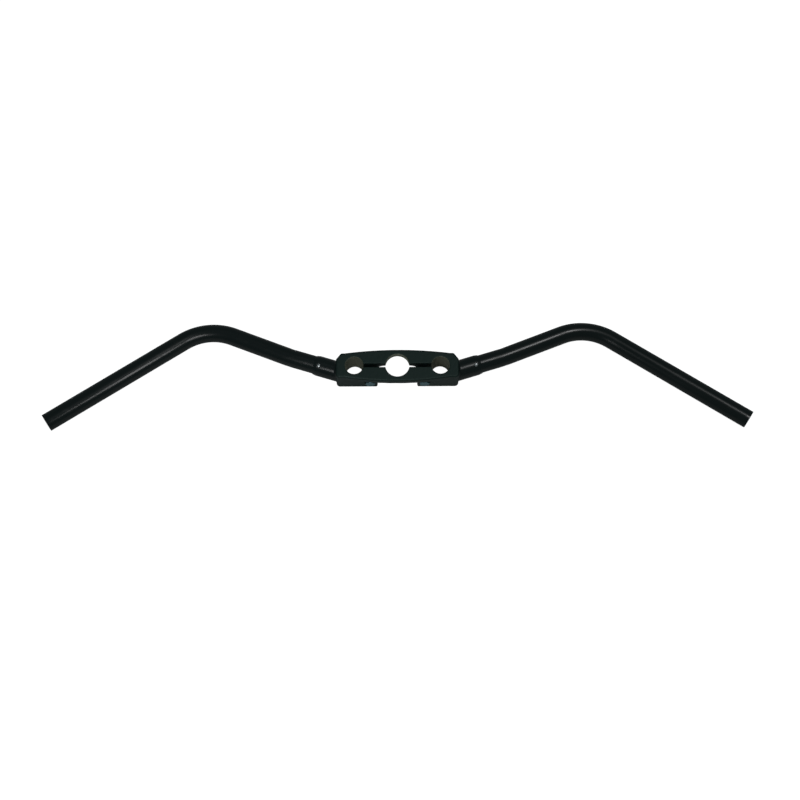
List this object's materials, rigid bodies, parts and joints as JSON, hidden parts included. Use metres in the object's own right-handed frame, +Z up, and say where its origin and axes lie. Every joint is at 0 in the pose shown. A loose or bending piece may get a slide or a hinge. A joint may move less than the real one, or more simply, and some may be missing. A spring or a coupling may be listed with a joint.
{
  "type": "handlebar",
  "caption": "Wide motorcycle handlebar for a springer fork: bent tubes pinned into a slotted forged clamp block whose pinch bolts unscrew.",
  "frame": {"origin": "on the steering-stem bore's axis, halfway up the thin centre web of the clamp block", "axes": "+Z up the steering stem, +Y forward on the motorcycle, +X to the rider's right along the bar"},
  "size_m": [0.9872, 0.1573, 0.0381],
  "materials": {
    "block_paint": "satin black paint over a forging",
    "tube_paint": "gloss black paint",
    "zinc_steel": "blue-tinted zinc plate",
    "washer_steel": "zinc plate"
  },
  "bodies": {
    "bar": {"clamp_block": "block_paint", "left_bar_tube": "tube_paint", "right_bar_tube": "tube_paint", "left_socket_pin": "block_paint", "right_socket_pin": "block_paint"},
    "left_washer": {"left_lock_washer": "washer_steel"},
    "left_bolt": {"left_pinch_bolt": "zinc_steel"},
    "right_washer": {"right_lock_washer": "washer_steel"},
    "right_bolt": {"right_pinch_bolt": "zinc_steel"}
  },
  "joints": [
    {"name": "left_bolt_travel", "type": "slide", "parent": "bar", "child": "left_washer", "axis": [0, -1, 0], "range_m": [0, 0.009]},
    {"name": "left_bolt_turn", "type": "hinge", "parent": "left_washer", "child": "left_bolt", "pos_m": [-0.0381, -0.01678, -0.01324], "axis": [0, -1, 0], "range_deg": [0, 3060]},
    {"name": "right_bolt_travel", "type": "slide", "parent": "bar", "child": "right_washer", "axis": [0, -1, 0], "range_m": [0, 0.009]},
    {"name": "right_bolt_turn", "type": "hinge", "parent": "right_washer", "child": "right_bolt", "pos_m": [0.0381, -0.01678, -0.01324], "axis": [0, -1, 0], "range_deg": [0, 3060]}
  ],
  "couplings": [
    {"joint": "left_bolt_travel", "follows": "left_bolt_turn", "m_per_rad": 0.00016844},
    {"joint": "right_bolt_travel", "follows": "right_bolt_turn", "m_per_rad": 0.00016844}
  ]
}
